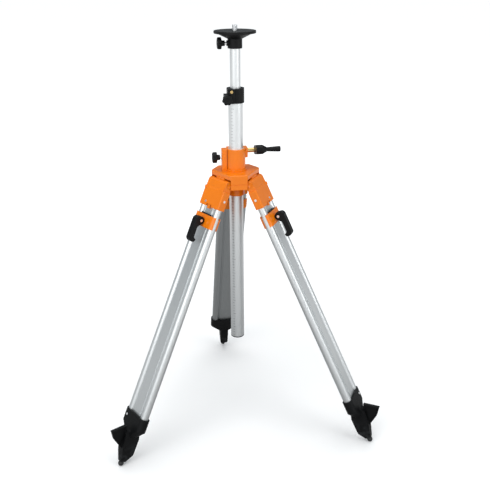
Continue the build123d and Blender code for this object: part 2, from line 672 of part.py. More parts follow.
FLANGE_BOTTOM = CASTING_BOTTOM - 7
with BuildPart() as lower_guide_ring:
    with BuildSketch(Plane.XY.offset(RING_BOTTOM)):
        Circle(26.5)
    extrude(amount=RING_TOP - RING_BOTTOM)
    fillet(lower_guide_ring.faces().sort_by(Axis.Z)[0].edges(), radius=1)
    with BuildSketch(Plane.XY.offset(RING_TOP)):
        Circle(25.5)
    extrude(amount=FLANGE_BOTTOM - RING_TOP)
    with BuildSketch(Plane.XY.offset(FLANGE_BOTTOM)):
        Circle(37)
    extrude(amount=CASTING_BOTTOM - FLANGE_BOTTOM)
    with BuildSketch(Plane.XY.offset(RING_BOTTOM)):
        Circle(OUTER_TUBE_RADIUS + SLIDING_GAP)
        with Locations((0, CHANNEL_DEPTH / 2)):
            Rectangle(2 * CHANNEL_HALF, CHANNEL_DEPTH)
    extrude(amount=CASTING_BOTTOM - RING_BOTTOM, mode=Mode.SUBTRACT)
    with BuildSketch(Plane.XY.offset(RING_BOTTOM + 2)):
        Circle(GUIDE_BORE)
    extrude(amount=RING_TOP + 8 - RING_BOTTOM, mode=Mode.SUBTRACT)
    with BuildSketch(Plane.XY.offset(FLANGE_BOTTOM)):
        with PolarLocations(RING_SCREW_CIRCLE, 3, start_angle=30):
            Circle(2)
    extrude(amount=CASTING_BOTTOM - FLANGE_BOTTOM, mode=Mode.SUBTRACT)
save(lower_guide_ring.part, "lower_guide_ring")

with BuildPart() as ring_screws:
    with BuildSketch(Plane.XY.offset(FLANGE_BOTTOM)):
        with PolarLocations(RING_SCREW_CIRCLE, 3, start_angle=30):
            Circle(2)
    extrude(amount=18)
    with BuildSketch(Plane.XY.offset(FLANGE_BOTTOM - 2.6)):
        with PolarLocations(RING_SCREW_CIRCLE, 3, start_angle=30):
            Circle(3.5)
    extrude(amount=2.6)
save(ring_screws.part, "ring_screws")

# ---------------------------------------------------------------- leg head and hinge bolt
def make_leg_head(rivet_x):
    """The moulding that joins a leg to its hinge; rivet_x is where its front rivet sits."""
    with BuildPart() as leg_head:
        with BuildSketch(Plane.XY.offset(-HEAD_BLOCK_BOTTOM)):
            with Locations((0, (BLOCK_FRONT + BLOCK_BACK) / 2)):
                RectangleRounded(2 * BLOCK_HALF_WIDTH, BLOCK_FRONT - BLOCK_BACK, 4)
        extrude(amount=HEAD_BLOCK_BOTTOM - HEAD_BLOCK_TOP)
        fillet(leg_head.faces().sort_by(Axis.Z)[-1].edges(), radius=2)
        # shoulders that rise to two ears, one on each side of the casting's lug
        with BuildSketch(Plane.YZ.offset(-EAR_END)):
            Circle(EAR_RADIUS)
            with BuildLine():
                Polyline(
                    (-EAR_RADIUS, 0),
                    (EAR_RADIUS, 0),
                    (BLOCK_FRONT - 1, -HEAD_BLOCK_TOP - 4),
                    (BLOCK_BACK + 1, -HEAD_BLOCK_TOP - 4),
                    close=True,
                )
            make_face()
        extrude(amount=2 * EAR_END)
        with BuildSketch(Plane.XY.offset(-EAR_SLOT_BOTTOM)):
            Rectangle(2 * EAR_START, 40)
        extrude(amount=EAR_SLOT_BOTTOM + 20, mode=Mode.SUBTRACT)
        # small stop teeth on the two outer corners
        with BuildSketch(Plane.XY.offset(-HEAD_BLOCK_TOP - 7)):
            with Locations((-BLOCK_HALF_WIDTH + 6, BLOCK_FRONT - 1), (BLOCK_HALF_WIDTH - 6, BLOCK_FRONT - 1)):
                RectangleRounded(8, 6, 1)
        extrude(amount=8.5)
        # hinge bore and the seats of the bolt's head and nut
        with BuildSketch(Plane.YZ):
            Circle(PIVOT_RADIUS + RUNNING_GAP)
        extrude(amount=BLOCK_HALF_WIDTH, both=True, mode=Mode.SUBTRACT)
        for side in (-1, 1):
            with BuildSketch(Plane.YZ.offset(side * BOLT_SEAT)):
                Circle(BOLT_SEAT_RADIUS)
            extrude(amount=side * 10, mode=Mode.SUBTRACT)
        with BuildSketch(Plane.XY.offset(-HEAD_BLOCK_BOTTOM)):
            draw_leg_section(UPPER_SECTION)
        extrude(amount=HEAD_BLOCK_BOTTOM - UPPER_LEG_TOP, mode=Mode.SUBTRACT)
        # notch in the lower edge with a catch that hangs in its middle
        with BuildSketch(Plane.XZ.offset(-BLOCK_FRONT - 1)):
            with Locations((0, -HEAD_BLOCK_BOTTOM + 3)):
                Rectangle(25, 8)
        extrude(amount=9.5, mode=Mode.SUBTRACT)
        with BuildSketch(Plane.XZ.offset(-BLOCK_FRONT + 1)):
            with Locations((0, -HEAD_BLOCK_BOTTOM + 1)):
                Rectangle(11, 14)
        extrude(amount=4)
        # rivet holes: one through the front, one in each narrow side
        with BuildSketch(Plane.XZ.offset(-BLOCK_FRONT - 1)):
            with Locations((rivet_x, -RIVET_DISTANCE)):
                Circle(2)
        extrude(amount=6, mode=Mode.SUBTRACT)
        with BuildSketch(Plane.YZ):
            with Locations((0, -SIDE_RIVET_DISTANCE)):
                Circle(2)
        extrude(amount=BLOCK_HALF_WIDTH + 1, both=True, mode=Mode.SUBTRACT)
    return leg_head.part


def make_leg_rivets(rivet_x):
    """The rivets that hold an upper leg in its leg head: one in front, one in each narrow side."""
    with BuildPart() as rivets:
        for radius, amount in ((4, -1.4), (2, 5)):
            with BuildSketch(Plane.XZ.offset(-BLOCK_FRONT)):
                with Locations((rivet_x, -RIVET_DISTANCE)):
                    Circle(radius)
            extrude(amount=amount)
        for side in (-1, 1):
            for radius, amount in ((4, 1.4), (2, -1.2)):
                with BuildSketch(Plane.YZ.offset(side * BLOCK_HALF_WIDTH)):
                    with Locations((0, -SIDE_RIVET_DISTANCE)):
                        Circle(radius)
                extrude(amount=side * amount)
    return rivets.part


# the front rivet is on the left of the right-hand leg and on the right of the others, seen from above the leg
for leg_side, leg_azimuth in LEG_AZIMUTHS.items():
    front_rivet = -RIVET_X if leg_side == "right" else RIVET_X
    place = leg_frame(leg_azimuth).location
    save(make_leg_head(front_rivet).moved(place), f"{leg_side}_leg_head")
    save(make_leg_rivets(front_rivet).moved(place), f"{leg_side}_leg_rivets")

with BuildPart() as pivot_bolt:
    head_start = BOLT_SEAT + SLIDING_GAP
    with BuildSketch(Plane.YZ.offset(-head_start)):
        Circle(PIVOT_RADIUS)
    extrude(amount=2 * head_start)
    for side in (-1, 1):
        with BuildSketch(Plane.YZ.offset(side * head_start)):
            RegularPolygon(radius=8, side_count=6, major_radius=False)
        extrude(amount=side * 5.5)
save_legs(pivot_bolt.part, "pivot_bolt")

# ---------------------------------------------------------------- leg extrusions
with BuildPart() as upper_leg:
    with BuildSketch(Plane.XY.offset(-UPPER_LEG_BOTTOM)):
        draw_leg_section(UPPER_SECTION)
        with Locations((-UPPER_SECTION[1], 0), (UPPER_SECTION[1], 0)):
            Circle(UPPER_TUBE_BORE, mode=Mode.SUBTRACT)
        Rectangle(2 * UPPER_SECTION[3] - 3.2, 2 * UPPER_SECTION[4] - 3.2, mode=Mode.SUBTRACT)
    extrude(amount=UPPER_LEG_BOTTOM - UPPER_LEG_TOP)
save_legs(upper_leg.part, "upper_leg")

with BuildPart() as lower_leg:
    with BuildSketch(Plane.XY.offset(-LOWER_LEG_BOTTOM)):
        draw_leg_section(LOWER_SECTION)
        draw_leg_section(LOWER_CAVITY, mode=Mode.SUBTRACT)
    extrude(amount=LOWER_LEG_BOTTOM - LOWER_LEG_TOP)
save_legs(lower_leg.part, "lower_leg")


# ---------------------------------------------------------------- leg clamp with its lever
def make_jaw(side):
    """The front (side 1) or back (side -1) shell of the leg clamp."""
    tube_radius, tube_offset, web_half = LOWER_SECTION[0:3]
    outer_radius = tube_radius + JAW_THICKNESS
    with BuildPart() as jaw:
        with BuildSketch(Plane.XY.offset(-CLAMP_BOTTOM)):
            draw_stadium(tube_offset, outer_radius)
            draw_stadium(tube_offset, tube_radius, mode=Mode.SUBTRACT)
            with Locations((-22, side * (web_half + tube_radius) / 2), (22, side * (web_half + tube_radius) / 2)):
                Rectangle(3, tube_radius - web_half + 0.4)
            with Locations((0, -side * (40 - JAW_EDGE))):
                Rectangle(140, 80, mode=Mode.SUBTRACT)
        extrude(amount=CLAMP_BOTTOM - CLAMP_TOP)
    return jaw.part


with BuildPart() as clamp_front:
    add(make_jaw(1))
    jaw_wall = LOWER_SECTION[0] + JAW_THICKNESS
    with BuildSketch(Plane.YZ.offset(-TONGUE_HALF_WIDTH)):
        with Locations((LEVER_PIN_OUTWARD, -LEVER_PIN_DISTANCE)):
            Circle(8)
        with Locations(((LEVER_PIN_OUTWARD + jaw_wall - 1) / 2, -LEVER_PIN_DISTANCE)):
            Rectangle(LEVER_PIN_OUTWARD - jaw_wall + 1, 16)
    extrude(amount=2 * TONGUE_HALF_WIDTH)
    with BuildSketch(Plane.YZ.offset(-TONGUE_HALF_WIDTH)):
        with Locations((LEVER_PIN_OUTWARD, -LEVER_PIN_DISTANCE)):
            Circle(LEVER_PIN_RADIUS)
    extrude(amount=2 * TONGUE_HALF_WIDTH, mode=Mode.SUBTRACT)
save_legs(clamp_front.part, "clamp_front")
save_legs(make_jaw(-1), "clamp_back")

pin_plane = Plane(origin=(0, LEVER_PIN_OUTWARD, -LEVER_PIN_DISTANCE), x_dir=(0, 1, 0), z_dir=(1, 0, 0))
with BuildPart() as clamp_lever:
    with BuildSketch(pin_plane.offset(-LEVER_HALF_WIDTH)):
        with BuildLine():
            FilletPolyline(
                (2, 12.7),
                (14.5, 12),
                (20.8, 4),
                (20.8, -64),
                (12.5, -71.5),
                (-0.5, -71.5),
                (-5.5, -62.5),
                (4.5, -56),
                (4.5, -21),
                (-7, -10.8),
                radius=[7, 8, 8, 7, 4, 2.5, 4, 9],
            )
            Line((-7, -10.8), (2, 12.7))
        make_face()
        Circle(LEVER_EYE_RADIUS)
    extrude(amount=2 * LEVER_HALF_WIDTH)
    fillet(clamp_lever.faces().filter_by(Axis.X).edges(), radius=1.5)
    # fork around the front jaw's tongue
    with BuildSketch(pin_plane.offset(-TONGUE_HALF_WIDTH - 0.4)):
        Circle(LEVER_FORK_RADIUS)
    extrude(amount=2 * TONGUE_HALF_WIDTH + 0.8, mode=Mode.SUBTRACT)
    with BuildSketch(pin_plane):
        Circle(LEVER_PIN_RADIUS + RUNNING_GAP)
    extrude(amount=LEVER_HALF_WIDTH, both=True, mode=Mode.SUBTRACT)
save_legs(clamp_lever.part, "clamp_lever")

with BuildPart() as lever_pin:
    with BuildSketch(pin_plane.offset(-LEVER_HALF_WIDTH - 0.4)):
        Circle(LEVER_PIN_RADIUS)
    extrude(amount=2 * LEVER_HALF_WIDTH + 0.8)
    for side in (-1, 1):
        with BuildSketch(pin_plane.offset(side * (LEVER_HALF_WIDTH + 0.4))):
            Circle(4.4)
        extrude(amount=side * 1.4)
save_legs(lever_pin.part, "lever_pin")

# ---------------------------------------------------------------- foot
SPIKE_HALF_WIDTH = 15.0
PEDAL_HALF_WIDTH = 5.5
PEDAL_WEB = 2.5
PEDAL_RIM = 4.0
SOCKET_WALL = 3.5
SPIKE_TOP = 862.0
SPIKE_NARROWS = 915.0
pedal_outline = [in_leg(450, 141), in_leg(503, 141), in_leg(497, 109), in_leg(475, 67), in_leg(455, 100)]
with BuildPart() as foot:
    with BuildSketch(Plane.XY.offset(-SOCKET_BOTTOM)):
        draw_stadium(LOWER_SECTION[1] + 1.5, LOWER_SECTION[0] + SOCKET_WALL)
    extrude(amount=SOCKET_BOTTOM - SOCKET_TOP)
    with BuildSketch(Plane.XY.offset(-SOCKET_BOTTOM)):
        draw_stadium(LOWER_SECTION[1] + 1.5, LOWER_SECTION[0] + SOCKET_WALL)
    with BuildSketch(Plane.XY.offset(-SPIKE_TOP)):
        draw_stadium(2, SPIKE_HALF_WIDTH + 1)
    loft()
    with BuildSketch(Plane.YZ):
        with BuildLine():
            Polyline(
                in_leg(432, 128),
                in_leg(459, 116),
                in_leg(475, 67),
                in_leg(483, 19),
                in_leg(466, 11),
                in_leg(441, 26),
                in_leg(415, 78),
                in_leg(410, 110),
                close=True,
            )
        make_face()
    extrude(amount=SPIKE_HALF_WIDTH, both=True)
    # pedal for a boot: a fin with a raised rim
    with BuildSketch(Plane.YZ):
        with BuildLine():
            Polyline(*pedal_outline, close=True)
        make_face()
    extrude(amount=PEDAL_HALF_WIDTH, both=True)
    for side in (-1, 1):
        with BuildSketch(Plane.YZ.offset(side * PEDAL_WEB)):
            with BuildLine():
                Polyline(*pedal_outline, close=True)
            make_face()
            offset(amount=-PEDAL_RIM)
        extrude(amount=side * PEDAL_HALF_WIDTH, mode=Mode.SUBTRACT)
    with BuildSketch(Plane.XY.offset(-LOWER_LEG_BOTTOM)):
        draw_leg_section(LOWER_SECTION)
    extrude(amount=LOWER_LEG_BOTTOM - SOCKET_TOP, mode=Mode.SUBTRACT)
    # the spike narrows towards its tip
    for side in (-1, 1):
        with BuildSketch(Plane.XZ):
            with BuildLine():
                Polyline(
                    (side * (SPIKE_HALF_WIDTH + 1), -SPIKE_NARROWS),
                    (side * SPIKE_HALF_WIDTH, -SPIKE_NARROWS),
                    (side * 7, -TIP_DISTANCE),
                    (side * 7, -TIP_DISTANCE - 10),
                    (side * (SPIKE_HALF_WIDTH + 1), -TIP_DISTANCE - 10),
                    close=True,
                )
            make_face()
        extrude(amount=60, both=True, mode=Mode.SUBTRACT)
    with BuildSketch(Plane.XY.offset(-TIP_DISTANCE)):
        Circle(4)
    extrude(amount=30, mode=Mode.SUBTRACT)
    with Locations((0, 0, -TIP_DISTANCE)):
        Sphere(TIP_RADIUS, mode=Mode.SUBTRACT)
save_legs(foot.part, "foot")

with BuildPart() as foot_tip:
    with BuildSketch(Plane.XY.offset(-TIP_DISTANCE)):
        Circle(4)
    extrude(amount=30)
    with Locations((0, 0, -TIP_DISTANCE)):
        Sphere(TIP_RADIUS)
save_legs(foot_tip.part, "foot_tip")
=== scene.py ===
"""Looks of the elevating tripod: pieces, materials, floor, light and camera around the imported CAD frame."""

import json
from math import cos, radians, sin, tau

import bmesh
import bpy
from mathutils import Matrix, Vector


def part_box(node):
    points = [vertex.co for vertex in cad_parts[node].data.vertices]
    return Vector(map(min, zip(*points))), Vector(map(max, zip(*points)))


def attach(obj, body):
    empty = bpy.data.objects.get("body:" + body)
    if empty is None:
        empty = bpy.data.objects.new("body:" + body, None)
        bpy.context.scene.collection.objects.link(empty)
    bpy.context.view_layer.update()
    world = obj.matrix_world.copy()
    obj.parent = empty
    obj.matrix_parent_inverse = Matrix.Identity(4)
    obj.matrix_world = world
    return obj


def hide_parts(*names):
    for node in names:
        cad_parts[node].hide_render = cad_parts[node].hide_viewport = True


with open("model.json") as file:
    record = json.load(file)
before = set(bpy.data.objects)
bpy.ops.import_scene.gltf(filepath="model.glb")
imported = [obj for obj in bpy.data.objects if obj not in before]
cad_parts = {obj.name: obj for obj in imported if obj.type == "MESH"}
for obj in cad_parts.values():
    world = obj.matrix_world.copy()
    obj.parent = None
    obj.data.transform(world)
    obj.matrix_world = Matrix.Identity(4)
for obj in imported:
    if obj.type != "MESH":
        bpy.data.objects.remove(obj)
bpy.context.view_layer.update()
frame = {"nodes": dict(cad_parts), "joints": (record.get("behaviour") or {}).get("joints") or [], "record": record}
scene = bpy.context.scene
joints = {joint["name"]: joint for joint in frame["joints"]}
mounts = {mount["name"]: mount for mount in frame["record"]["mounts"]}

MM = 0.001
INCH = 25.4 * MM
CENTIMETRE = 10 * MM
SIDES = ("rear", "left", "right")
X_AXIS = Vector((1, 0, 0))
Y_AXIS = Vector((0, 1, 0))
Z_AXIS = Vector((0, 0, 1))


# ---------------------------------------------------------------- frames of reference
def frame_at(origin, x, y, z):
    """The matrix that takes a local point to its place, from the directions of the local axes."""
    rotation = Matrix((x, y, z)).transposed().to_4x4()
    return Matrix.Translation(Vector(origin)) @ rotation


def axis_frame(origin, z_axis, x_hint=Z_AXIS):
    """A frame whose z runs along z_axis and whose x leans towards x_hint."""
    z = Vector(z_axis).normalized()
    x = (x_hint - z * x_hint.dot(z)).normalized()
    return frame_at(origin, x, z.cross(x), z)


def leg_frame(side):
    """A leg's frame: x along the hinge, y out of its front face, z up along it, origin on the hinge."""
    hinge = joints[f"{side}_leg_fold"]
    up = -Vector(joints[f"{side}_leg_extend"]["axis"])
    x = -Vector(hinge["axis"])
    return frame_at(hinge["pos_m"], x, up.cross(x), up)


def outer_face(leg, spot, outward):
    """A frame on a leg's surface: z along outward and x up the leg, all in the leg's own directions."""
    turn = leg.to_3x3()
    return axis_frame(leg @ spot, turn @ outward, turn @ Z_AXIS)


# ---------------------------------------------------------------- material building
def colour_socket(sockets, name):
    """The colour socket of this name on a mix node, which has one of each name for every kind of value."""
    return [socket for socket in sockets if socket.name == name and socket.type == "RGBA"][0]


class Shader:
    """A Principled material with object coordinates, built step by step."""

    def __init__(self, name, **values):
        self.material = bpy.data.materials.new(name)
        self.material.use_nodes = True
        self.nodes = self.material.node_tree.nodes
        self.links = self.material.node_tree.links
        self.surface = self.nodes["Principled BSDF"]
        for socket, value in values.items():
            self.surface.inputs[socket.replace("_", " ")].default_value = value
        self.place = self.nodes.new("ShaderNodeTexCoord").outputs["Object"]

    def turned(self, rotation, scale):
        """The place, turned by a rotation and then stretched."""
        turn = self.nodes.new("ShaderNodeMapping")
        turn.inputs["Rotation"].default_value = rotation
        self.links.new(self.place, turn.inputs["Vector"])
        stretch = self.nodes.new("ShaderNodeMapping")
        stretch.inputs["Scale"].default_value = scale
        self.links.new(turn.outputs["Vector"], stretch.inputs["Vector"])
        return stretch.outputs["Vector"]

    def noise(self, scale, detail=3.0, place=None):
        """The height of a noise texture."""
        texture = self.nodes.new("ShaderNodeTexNoise")
        texture.inputs["Scale"].default_value = scale
        texture.inputs["Detail"].default_value = detail
        self.links.new(place or self.place, texture.inputs["Vector"])
        return texture.outputs["Fac"]

    def ranged(self, value, low, high, start=0.3, end=0.7):
        """A value stretched from start..end to low..high."""
        node = self.nodes.new("ShaderNodeMapRange")
        node.inputs["From Min"].default_value = start
        node.inputs["From Max"].default_value = end
        node.inputs["To Min"].default_value = low
        node.inputs["To Max"].default_value = high
        self.links.new(value, node.inputs["Value"])
        return node.outputs["Result"]

    def mixed(self, factor, first, second):
        """A colour between first and second."""
        node = self.nodes.new("ShaderNodeMix")
        node.data_type = "RGBA"
        self.links.new(factor, node.inputs["Factor"])
        for name, colour in (("A", first), ("B", second)):
            target = colour_socket(node.inputs, name)
            if isinstance(colour, tuple):
                target.default_value = (*colour, 1)
            else:
                self.links.new(colour, target)
        return colour_socket(node.outputs, "Result")

    def multiplied(self, first, second):
        """The product of two values."""
        node = self.nodes.new("ShaderNodeMath")
        node.operation = "MULTIPLY"
        self.links.new(first, node.inputs[0])
        self.links.new(second, node.inputs[1])
        return node.outputs[0]

    def height(self):
        """The z coordinate of a point."""
        node = self.nodes.new("ShaderNodeSeparateXYZ")
        self.links.new(self.place, node.inputs[0])
        return node.outputs["Z"]

    def feed(self, socket, value):
        """Link a value to a socket of the surface."""
        self.links.new(value, self.surface.inputs[socket])

    def soft_edges(self, radius):
        """A normal that rounds the edges of the shape by this radius."""
        node = self.nodes.new("ShaderNodeBevel")
        node.samples = 6
        node.inputs["Radius"].default_value = radius
        return node.outputs["Normal"]

    def bump(self, height, strength, distance, under=None):
        """A bump layer on top of the one under it."""
        node = self.nodes.new("ShaderNodeBump")
        node.inputs["Strength"].default_value = strength
        node.inputs["Distance"].default_value = distance
        self.links.new(height, node.inputs["Height"])
        if under:
            self.links.new(under, node.inputs["Normal"])
        self.links.new(node.outputs["Normal"], self.surface.inputs["Normal"])
        return node.outputs["Normal"]


PLASTIC_IOR = 1.45
BLACK_TONES = ((0.0025, 0.0028, 0.003), (0.005, 0.0054, 0.006))
DUST_TONE = (0.040, 0.043, 0.046)
DUST_TOP = 90 * MM


def orange_plastic():
    """Glossy orange moulding, slightly wavy and with a fine grain."""
    shader = Shader(
        "orange_moulding",
        Coat_Weight=0.32,
        Coat_Roughness=0.08,
        IOR=PLASTIC_IOR,
        Specular_IOR_Level=0.3,
    )
    tone = shader.mixed(shader.noise(9, 4), (0.80, 0.178, 0.002), (0.86, 0.215, 0.003))
    shader.feed("Base Color", tone)
    shader.feed("Roughness", shader.ranged(shader.noise(60, 4), 0.28, 0.42))
    waves = shader.bump(shader.noise(140, 2), 0.12, 0.0002, shader.soft_edges(0.0012))
    shader.bump(shader.noise(1600, 2), 0.10, 0.00005, waves)
    return shader.material


def black_plastic():
    """Satin black moulding with a fine grain."""
    shader = Shader("black_plastic", IOR=PLASTIC_IOR, Specular_IOR_Level=0.22)
    tone = shader.mixed(shader.noise(30, 4), *BLACK_TONES)
    shader.feed("Base Color", tone)
    shader.feed("Roughness", shader.ranged(shader.noise(220, 3), 0.34, 0.50))
    shader.bump(shader.noise(2600, 2), 0.35, 0.00006, shader.soft_edges(0.001))
    return shader.material


def foot_plastic():
    """Black plastic that is scuffed and dusty towards the ground."""
    shader = Shader("foot_plastic", IOR=PLASTIC_IOR, Specular_IOR_Level=0.22)
    near_ground = shader.ranged(shader.height(), 0.75, 0.0, 0.0, DUST_TOP)
    dust = shader.multiplied(near_ground, shader.ranged(shader.noise(70, 6), 0.0, 1.0, 0.42, 0.62))
    clean = shader.mixed(shader.noise(30, 4), *BLACK_TONES)
    shader.feed("Base Color", shader.mixed(dust, clean, DUST_TONE))
    shader.feed("Roughness", shader.ranged(shader.noise(220, 3), 0.38, 0.58))
    scuffs = shader.bump(shader.noise(120, 5), 0.12, 0.0004, shader.soft_edges(0.0015))
    shader.bump(shader.noise(2400, 2), 0.35, 0.00006, scuffs)
    return shader.material


def aluminium(name, tube_frame, bright):
    """Clear anodised extrusion, as bright as bright, with draw lines along the z of tube_frame. On the rear leg,
    bright is lowered as painted shade.
    """
    shader = Shader(name, Metallic=1.0)
    turn = tube_frame.to_3x3().inverted().to_euler()
    lines = shader.noise(1.0, 3, shader.turned(turn, (1500, 1500, 7)))
    bands = shader.noise(1.0, 2, shader.turned(turn, (160, 160, 1.5)))
    dull_tone = (bright - 0.05, bright - 0.03, bright - 0.02)
    clear_tone = (bright, bright + 0.02, bright + 0.02)
    shader.feed("Base Color", shader.mixed(bands, dull_tone, clear_tone))
    shader.feed("Roughness", shader.ranged(lines, 0.36, 0.50))
    shader.bump(lines, 0.10, 0.00004)
    return shader.material


def metal(name, dark, light, low, high):
    """Plated or turned metal with fine brushing and a few rubbed places."""
    shader = Shader(name, Metallic=1.0)
    shader.feed("Base Color", shader.mixed(shader.noise(90, 5), dark, light))
    shader.feed("Roughness", shader.ranged(shader.noise(400, 4), low, high))
    shader.bump(shader.noise(1800, 2), 0.08, 0.00004)
    return shader.material


def pale_plastic():
    """Off-white bearing plastic of the guides and bushes."""
    shader = Shader("bearing_plastic", IOR=1.48)
    shader.feed("Base Color", shader.mixed(shader.noise(40, 3), (0.66, 0.64, 0.57), (0.74, 0.72, 0.66)))
    shader.feed("Roughness", shader.ranged(shader.noise(200, 3), 0.36, 0.5))
    shader.bump(shader.noise(1500, 2), 0.12, 0.00005)
    return shader.material


def rubber():
    """Worn, dusty rubber of the ball tips."""
    shader = Shader("tip_rubber")
    shader.feed("Base Color", shader.mixed(shader.noise(60, 5), (0.010, 0.011, 0.012), (0.045, 0.046, 0.048)))
    shader.feed("Roughness", shader.ranged(shader.noise(150, 4), 0.55, 0.8))
    shader.bump(shader.noise(900, 4), 0.4, 0.0002)
    return shader.material


def scale_ink():
    """Grey print of the column's marks."""
    shader = Shader("scale_ink")
    shader.feed("Base Color", shader.mixed(shader.noise(300, 3), (0.24, 0.25, 0.26), (0.34, 0.35, 0.36)))
    shader.feed("Roughness", shader.ranged(shader.noise(500, 2), 0.45, 0.6))
    return shader.material


MATERIALS = {
    "orange_moulding": orange_plastic(),
    "black_plastic": black_plastic(),
    "zinc_steel": metal("zinc_steel", (0.84, 0.85, 0.86), (0.92, 0.93, 0.94), 0.30, 0.45),
    "brass": metal("brass", (0.62, 0.42, 0.16), (0.80, 0.58, 0.26), 0.20, 0.34),
    "bearing_plastic": pale_plastic(),
    "tip_rubber": rubber(),
}
# Painted shade: the rear leg's tubes get 0.56 against 0.82 for the other legs, a darker copy of the same anodised
# metal that stands for the shade the rear leg lies in.
LEG_BRIGHTNESS_WITH_PAINTED_SHADE = {"rear": 0.56, "left": 0.82, "right": 0.82}
COLUMN_BRIGHTNESS = 0.86
TUBES = {side: aluminium(f"anodised_{side}", leg_frame(side), LEG_BRIGHTNESS_WITH_PAINTED_SHADE[side]) for side in SIDES}
TUBES["column"] = aluminium("anodised_column", Matrix.Identity(4), COLUMN_BRIGHTNESS)
FOOT = foot_plastic()
INK = scale_ink()


def paint(piece, material):
    """Give a piece one material in all its slots."""
    if not piece.data.materials:
        piece.data.materials.append(material)
    for index in range(len(piece.data.materials)):
        piece.data.materials[index] = material


SLOT_OF = {entry["node"]: entry["material_slot"] for entry in frame["record"]["subparts"]}
BODY_OF = {node: body for body, nodes in frame["record"]["behaviour"]["bodies"].items() for node in nodes}


def material_of(node):
    """The material of a node, after its slot and its place on the tripod."""
    if SLOT_OF[node] == "anodised_tube":
        side = node.split("_")[0]
        return TUBES.get(side, TUBES["column"])
    if node.endswith("_foot"):
        return FOOT
    return MATERIALS[SLOT_OF[node]]


for node in SLOT_OF:
    paint(frame["nodes"][node], material_of(node))


# ---------------------------------------------------------------- pieces
def finish_piece(mesh, material, body, crisp_above):
    """The object of a mesh, riding on a body; edges steeper than crisp_above degrees stay crisp."""
    mesh.shade_smooth()
    mesh.set_sharp_from_angle(angle=radians(crisp_above))
    piece = bpy.data.objects.new(mesh.name, mesh)
    scene.collection.objects.link(piece)
    paint(piece, material)
    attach(piece, body)
    return piece


def add_piece(name, points, faces, material, body, crisp_above=35):
    """A piece made of points and faces."""
    mesh = bpy.data.meshes.new(name)
    mesh.from_pydata([tuple(point) for point in points], [], faces)
    mesh.validate()
    return finish_piece(mesh, material, body, crisp_above)


def circle(radius, height, count):
    """Points round a circle about z, all at one height."""
    turns = [tau * step / count for step in range(count)]
    return [Vector((radius * cos(angle), radius * sin(angle), height)) for angle in turns]


def ring_faces(rings, count):
    """The quads between rings of count points each, and a face that closes either end."""
    faces = [tuple(reversed(range(count)))]
    for ring in range(rings - 1):
        for step in range(count):
            following = (step + 1) % count
            start = ring * count
            faces.append((start + step, start + following, start + count + following, start + count + step))
    faces.append(tuple(range((rings - 1) * count, rings * count)))
    return faces


def swept_rings(place, profile, count, shape=None):
    """Rings of points around place's z for a profile of (radius, height, shape weight)."""
    points = []
    for radius, height, weight in profile:
        for step in range(count):
            angle = tau * step / count
            factor = 1 - weight * (shape(angle) if shape else 0)
            spot = Vector((radius * factor * cos(angle), radius * factor * sin(angle), height))
            points.append(place @ spot)
    return points


def node_span(node, origin, axis):
    """How far a node's box reaches along axis, counted from origin."""
    low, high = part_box(node)
    centre = (Vector(low) + Vector(high)) / 2
    half = (Vector(high) - Vector(low)) / 2
    middle = (centre - Vector(origin)).dot(axis)
    reach = sum(abs(half[index] * axis[index]) for index in range(3))
    return middle - reach, middle + reach


GRIP_LOBES = 7
GRIP_STEPS = 84
LOBE_SHARPNESS = 1.3


def scallop(angle):
    """How deep the grip's edge is cut in at an angle, 0 on a lobe and 1 between two."""
    return (0.5 - 0.5 * cos(GRIP_LOBES * angle)) ** LOBE_SHARPNESS


def make_knob(node, head_radius, neck_radius, neck_length):
    """A soft moulded grip with seven lobes on a round neck, in place of a knob's node."""
    joint = joints[f"{node}_turn"]
    axis = Vector(joint["axis"]).normalized()
    start, end = node_span(node, joint["pos_m"], axis)
    place = axis_frame(Vector(joint["pos_m"]) + axis * start, axis)
    length = end - start
    rim = head_radius * 0.99
    profile = [
        (neck_radius * 0.55, 0.0, 0),
        (neck_radius * 0.96, 0.0, 0),
        (neck_radius, 0.3 * MM, 0),
        (neck_radius * 0.97, neck_length * 0.5, 0),
        (neck_radius * 1.02, neck_length - 1.2 * MM, 0),
        (neck_radius * 1.12, neck_length - 0.2 * MM, 0.01),
        (head_radius * 0.72, neck_length, 0.06),
        (rim * 0.93, neck_length + 0.2 * MM, 0.11),
        (rim, neck_length + 1.6 * MM, 0.14),
        (rim, length - 4.5 * MM, 0.14),
        (rim * 0.98, length - 2.4 * MM, 0.13),
        (rim * 0.90, length - 0.9 * MM, 0.11),
        (head_radius * 0.70, length - 0.1 * MM, 0.05),
        (head_radius * 0.40, length, 0.01),
        (head_radius * 0.36, length - 0.9 * MM, 0),
        (head_radius * 0.10, length - 0.9 * MM, 0),
    ]
    knob = add_piece(
        f"{node}_grip",
        swept_rings(place, profile, GRIP_STEPS, scallop),
        ring_faces(len(profile), GRIP_STEPS),
        MATERIALS["black_plastic"],
        BODY_OF[node],
        crisp_above=60,
    )
    smoother = knob.modifiers.new("subdivision", "SUBSURF")
    smoother.levels = 1
    smoother.render_levels = 1
    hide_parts(node)


THREAD_PITCH = INCH / 11
THREAD_DEPTH = 0.58 * THREAD_PITCH
THREAD_RINGS = 120
THREAD_CHAMFER = 1.1 * MM
STUD_NECK_RADIUS = 6.9 * MM
STUD_BASE_RADIUS = 12 * MM
STUD_BASE_HEIGHT = 6.4 * MM
STUD_NECK_START = 7 * MM
STUD_STEPS = 48


